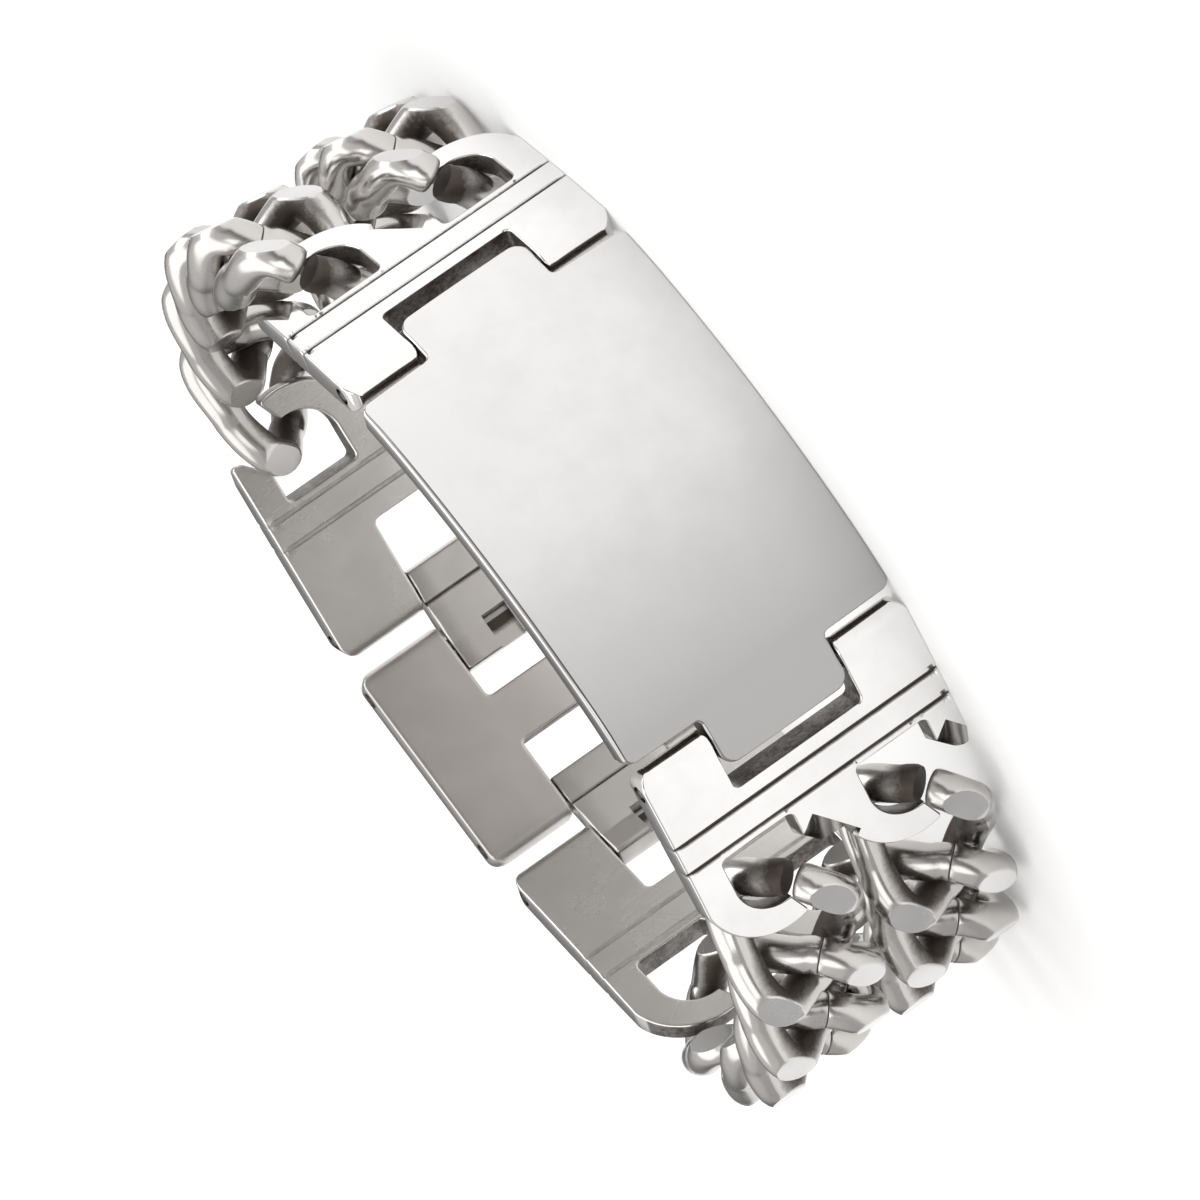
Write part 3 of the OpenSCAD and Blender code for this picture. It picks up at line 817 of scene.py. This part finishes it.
def curb_path(b, shares):
    """A curb link's centre line at shares of its length: a loop between a box and an ellipse,
    its two long sides twisted out of the middle plane by the sine of twice the turn."""
    samples, squareness = 4001, 0.75
    t = np.linspace(0, 2 * np.pi, samples)

    def power(v):
        return np.sign(v) * np.abs(v) ** squareness

    loop = np.column_stack([(b.chain_len - b.wire) / 2 * power(np.cos(t)),
                            (b.chain_width - b.wire) / 2 * power(np.sin(t)),
                            -b.twist * np.sin(2 * t)])
    run = np.concatenate([[0], np.cumsum(np.linalg.norm(np.diff(loop, axis=0), axis=1))])
    want = (shares % 1) * run[-1]
    return np.column_stack([np.interp(want, run, loop[:, k]) for k in range(3)]), run[-1]


def curb_shape(b, seam_at, opening):
    """A curb link: a round wire carried along curb_path, its section turned so that one way
    points as near as it can to the link's face, and thicker by swell where it stands out most.
    Points past the face level are cut off flat, and each ring's points are set so that two rows
    run exactly along the cut's edges. A fine narrow ring marks the weld, or the wire stays open
    there. Returns points, faces, the dark film, which is painted shade deepest on the side that
    looks to the link's middle, with a real dark line at the weld, and a mark that is 1 on the
    flats."""
    rings, step, least_cut, swell = 130, 0.004, 0.12, 0.06
    _, total = curb_path(b, np.zeros(1))
    gap = opening / total / 2
    near = np.array([-0.16, -0.07, 0, 0.07, 0.16]) / total
    if opening:
        shares = seam_at + np.linspace(gap, 1 - gap, rings)
    else:
        shares = seam_at + np.concatenate([near, np.linspace(near[-1], 1 + near[0], rings)[1:-1]])
    centre, _ = curb_path(b, shares)
    ahead, _ = curb_path(b, shares + step)
    behind, _ = curb_path(b, shares - step)
    tangent = rows_to_unit(ahead - behind)
    up = rows_to_unit(np.array([0, 0, 1]) - tangent[:, 2:] * tangent)
    side = np.cross(tangent, up)
    radius = b.wire / 2 * (1 + swell * np.abs(centre[:, 2] / b.twist))
    if opening:
        ends = np.minimum(shares - shares[0], shares[-1] - shares) * total
        radius -= 0.12 * np.clip(1 - ends / 0.15, 0, 1)
    else:
        radius[2] -= b.seam
        radius[[1, 3]] -= b.seam * 0.15
    face = b.twist + b.wire / 2 - b.flat_cut
    lean = radius * up[:, 2]
    cut_top, cut_low = (
        np.maximum(np.arccos(np.clip((face + way * centre[:, 2]) / lean, -1, 1)), least_cut)
        for way in (-1, 1))
    flat_w = np.linspace(-1, 1, 9)
    round_w = np.linspace(0, 1, 13)[1:-1]
    first, last = cut_top[:, None], np.pi - cut_low[:, None]
    turn = np.hstack([flat_w * first, first + round_w * (last - first),
                      np.pi + flat_w * cut_low[:, None],
                      2 * np.pi - (last + round_w * (first - last))])
    ring = centre[:, None] + radius[:, None, None] * (np.cos(turn)[..., None] * up[:, None]
                                                      + np.sin(turn)[..., None] * side[:, None])
    ring[..., 2] = np.clip(ring[..., 2], -face, face)
    faces = tube_faces(len(shares), turn.shape[1], bool(opening), not opening)
    # Painted shade: the film darkens the side of the wire that faces the link's middle, and stays
    # off the flats.
    outwards = rows_to_unit(centre * (1, 1, 0))
    spoke = rows_to_unit(ring - centre[:, None])
    film = np.clip(-0.95 * (spoke * outwards[:, None]).sum(-1), 0, 0.9)
    ground = np.where(np.abs(ring[..., 2]) > face - 1e-6, 1.0, 0.0)
    film *= 1 - ground
    # At an opening the wire is painted darker over about 4 mm from one side and darkest on its cut
    # ends; a weld gets a real dark line.
    if opening:
        darker_near_opening = np.clip(1.25 - (shares - shares[0]) * total / 3, 0, 1)
        film = np.maximum(film, darker_near_opening[:, None])
        film[[0, -1]] = 1
        film[-2] = 0.4
    else:
        film[2] = 1
    return ring.reshape(-1, 3), faces, film.ravel(), ground.ravel()


def link_on_strand(b, points, k, zc):
    """Link k of a strand, counted from the plate, laid along its step of the chain's arc."""
    a0, a1 = b.arc_from + k * b.arc_step, b.arc_from + (k + 1) * b.arc_step
    p0, p1 = b.arc_c + b.arc_r * direction(a0), b.arc_c + b.arc_r * direction(a1)
    roll = np.radians(90 + b.roll * (1 - k / 2))
    x, y, z = points.T
    y, z = y * np.cos(roll) - z * np.sin(roll), y * np.sin(roll) + z * np.cos(roll)
    along = rows_to_unit((p1 - p0)[None])[0]
    left = np.array([-along[1], along[0]])
    xy = (p0 + p1) / 2 + x[:, None] * along + y[:, None] * left
    return np.column_stack([xy, z + zc])


# Operators

class PieceMaker:
    """What the operators share: each makes its pieces from the plan and the finishes."""

    def execute(self, context):
        self.make(bracelet_plan(context.scene), finishes(context.scene))
        return {"FINISHED"}


class BRACELET_OT_plate(PieceMaker, bpy.types.Operator):
    """Make the polished plate over its CAD node"""
    bl_idname = "bracelet.plate"
    bl_label = "Make plate"

    def make(self, b, looks):
        points, faces, grime, satin = plate_shape(b)
        make_piece("plate", placed(b, points), faces, looks["polished_plate_steel"], "band",
                   ["id_plate"], "polished_steel", grime=grime, satin=satin)


class BRACELET_OT_end_links(PieceMaker, bpy.types.Operator):
    """Make the four hooked end links"""
    bl_idname = "bracelet.end_links"
    bl_label = "Make end links"

    def make(self, b, looks):
        finish = looks["bright_link_steel"]
        for kind, end, pin, turn, way in ((b.front, "front", b.front_pin, b.front_angle, -1),
                                          (b.back, "back", b.back_pin, -b.back_angle, 1)):
            points, faces, grime, satin = end_link_shape(b, kind)
            line = on_line(points, pin, turn, way)
            boxes = [on_line(box, pin, turn, way) for box in spur_cuts(b, kind)]
            for side in ("right", "left"):
                turned = side == "left"
                piece = make_piece(f"{end}_hook_link_{side}", placed(b, line, turned, True),
                                   faces, finish, "band", [f"{end}_end_link_{side}"],
                                   "polished_steel", grime=grime, satin=satin)
                bore(piece, placed(b, np.array([[*pin, 0.0]]), turned, True)[0, :2], b)
                for box in boxes:
                    # The slanted cut faces get a little of the dark film, painted shade.
                    cut_away(piece, placed(b, box, turned, True), BOX_FACES, 0.2)


class BRACELET_OT_chain(PieceMaker, bpy.types.Operator):
    """Make the twenty curb links of the four strands"""
    bl_idname = "bracelet.chain"
    bl_label = "Make chain"

    def make(self, b, looks):
        finish = looks["mirror_chain_steel"]
        for side in ("right", "left"):
            for row in ("upper", "lower"):
                for k in range(STRAND_LINKS):
                    opening = b.opening if k == 0 else 0
                    points, faces, film, ground = curb_shape(b, SEAM_AT + 0.01 * (k % 3), opening)
                    turned = side == "left"
                    zc = b.strand_z if (row == "upper") != turned else -b.strand_z
                    strand = placed(b, link_on_strand(b, points, k, zc), turned)
                    make_piece(f"{side}_{row}_curb_{k + 1}", strand, faces, finish, "band",
                               [f"{side}_{row}_link_{k + 1}"], "chain_steel", grime=film,
                               satin=ground)


class BRACELET_OT_clasp(PieceMaker, bpy.types.Operator):
    """Make the centre link and the two latch blades"""
    bl_idname = "bracelet.clasp"
    bl_label = "Make clasp"

    def make(self, b, looks):
        finish = looks["satin_clasp_steel"]
        points, faces, grime, satin = centre_shape(b)
        centre = make_piece("clasp_centre", placed(b, points), faces, finish, "clasp_link",
                            ["clasp_link"], "clasp_steel", grime=grime, satin=satin)
        for x in (-b.centre_pin, b.centre_pin):
            bore(centre, (x, b.clasp_y + b.shift_y), b)
        points, faces, grime, satin = blade_shape(b)
        starts = {"right": (b.back_pin, 180 - b.blade_angle),
                  "left": (np.array([-b.centre_pin, b.clasp_y]), 180 + b.blade_angle)}
        for side, (start, turn) in starts.items():
            make_piece(f"clasp_blade_{side}", placed(b, on_line(points, start, turn, -1)), faces,
                       finish, f"latch_blade_{side}", [f"latch_blade_{side}"], "clasp_steel",
                       grime=grime, satin=satin)


class BRACELET_OT_pins(PieceMaker, bpy.types.Operator):
    """Make the six hinge pins"""
    bl_idname = "bracelet.pins"
    bl_label = "Make pins"

    def make(self, b, looks):
        centre = np.array([b.centre_pin, b.clasp_y])
        for node, spot, body in (("plate_pin", b.front_pin, "band"),
                                 ("latch_pin", b.back_pin, "band"),
                                 ("centre_pin", centre, "clasp_link")):
            for side, sign in (("right", 1), ("left", -1)):
                points, faces = drum((spot[0] * sign, spot[1] + b.shift_y), b.pin / 2, PIN_INSET,
                                     b.band_width - PIN_INSET, 0.12)
                # The pins lie deep in their bores and are painted almost wholly with the dark film,
                # as painted shade.
                make_piece(f"{node}_rod_{side}", points, faces, looks["pin_steel"], body,
                           [f"{node}_{side}"], "pin_steel", grime=np.full(len(points), 0.9),
                           satin=np.ones(len(points)))


class BRACELET_OT_studio(PieceMaker, bpy.types.Operator):
    """Make the floor, the lights and the camera"""
    bl_idname = "bracelet.studio"
    bl_label = "Make studio"

    def make(self, b, looks):
        corners = np.array([[-1, -1, 0], [1, -1, 0], [1, 1, 0], [-1, 1, 0]]) * FLOOR_HALF
        floor = make_piece("floor", corners, [[0, 1, 2, 3]], looks["pale_floor"], None, (), "")
        scene = bpy.context.scene
        for name, at, size, power, tint in SOFTBOXES:
            light = bpy.data.lights.new(name, "AREA")
            light.shape, light.size, light.size_y = "RECTANGLE", *size
            light.energy, light.color = power, tint
            lamp = bpy.data.objects.new(name, light)
            lamp.location = at
            lamp.rotation_euler = Matrix(look_rows(-np.array(at))).to_euler()
            scene.collection.objects.link(lamp)
        scene.world = studio_room()
        scene.view_settings.view_transform = "Standard"
        data = bpy.data.cameras.new("photo_camera")
        data.lens, data.sensor_width = CAMERA_LENS, 36
        data.clip_start, data.clip_end = 0.01, 50
        camera = bpy.data.objects.new("photo_camera", data)
        right, down = np.array(CAMERA_RIGHT), np.array(CAMERA_DOWN)
        rows = np.column_stack([right, -down, -np.cross(right, down)])
        camera.matrix_world = Matrix.Translation(CAMERA_AT) @ Matrix(rows).to_4x4()
        scene.collection.objects.link(camera)
        scene.camera = camera


def studio_room():
    """The room around: grey near the horizon, and white overhead and at both ends."""
    f = Finish(bpy.data.worlds.new("studio_room"))
    way = f.named("ShaderNodeTexCoord", {}, {}, "Generated")
    across = f.named("ShaderNodeSeparateXYZ", {}, {"Vector": way}, "X")
    rise = f.named("ShaderNodeSeparateXYZ", {}, {"Vector": way}, "Z")
    ends = f.ramp(across * across, (0.10, 0.0), (0.42, 0.74))
    shade = f.ramp(rise, (0.0, 0.22), (0.25, 0.36), (0.55, 1.0)).highest(ends)
    tint = f.mixed(shade, (0.0, 0.0, 0.0, 1), (1.0, 0.99, 0.98, 1))
    glow = f.node("ShaderNodeBackground", {}, {"Color": tint, "Strength": 0.75})[0]
    f.node("ShaderNodeOutputWorld", {}, {"Surface": glow})
    return f.owner


def look_rows(aim):
    """A turn whose -Z axis looks along aim, with its X axis level."""
    back = -aim / np.linalg.norm(aim)
    right = np.cross([0, 0, 1], back)
    right = right / np.linalg.norm(right)
    return np.column_stack([right, np.cross(back, right), back]).tolist()


class BRACELET_PT_panel(bpy.types.Panel):
    """Sizes, colours and pieces of the bracelet"""
    bl_label = "Identity bracelet"
    bl_idname = "BRACELET_PT_panel"
    bl_space_type = "VIEW_3D"
    bl_region_type = "UI"
    bl_category = "Bracelet"

    def draw(self, context):
        for operator in OPERATORS:
            self.layout.operator(operator.bl_idname)
        for group, kind in GROUPS.items():
            box = self.layout.box()
            for key in kind.__annotations__:
                box.prop(getattr(context.scene, group), key)


OPERATORS = (BRACELET_OT_studio, BRACELET_OT_plate, BRACELET_OT_end_links, BRACELET_OT_chain,
             BRACELET_OT_clasp, BRACELET_OT_pins)


def register():
    for cls in (*GROUPS.values(), *OPERATORS, BRACELET_PT_panel):
        bpy.utils.register_class(cls)
    for name, kind in GROUPS.items():
        setattr(bpy.types.Scene, name, bpy.props.PointerProperty(type=kind))


def unregister():
    for name in GROUPS:
        delattr(bpy.types.Scene, name)
    for cls in (BRACELET_PT_panel, *OPERATORS[::-1], *tuple(GROUPS.values())[::-1]):
        bpy.utils.unregister_class(cls)


def main():
    register()
    bpy.ops.bracelet.studio()
    bpy.ops.bracelet.plate()
    bpy.ops.bracelet.end_links()
    bpy.ops.bracelet.chain()
    bpy.ops.bracelet.clasp()
    bpy.ops.bracelet.pins()


if __name__ == "__main__":
    main()
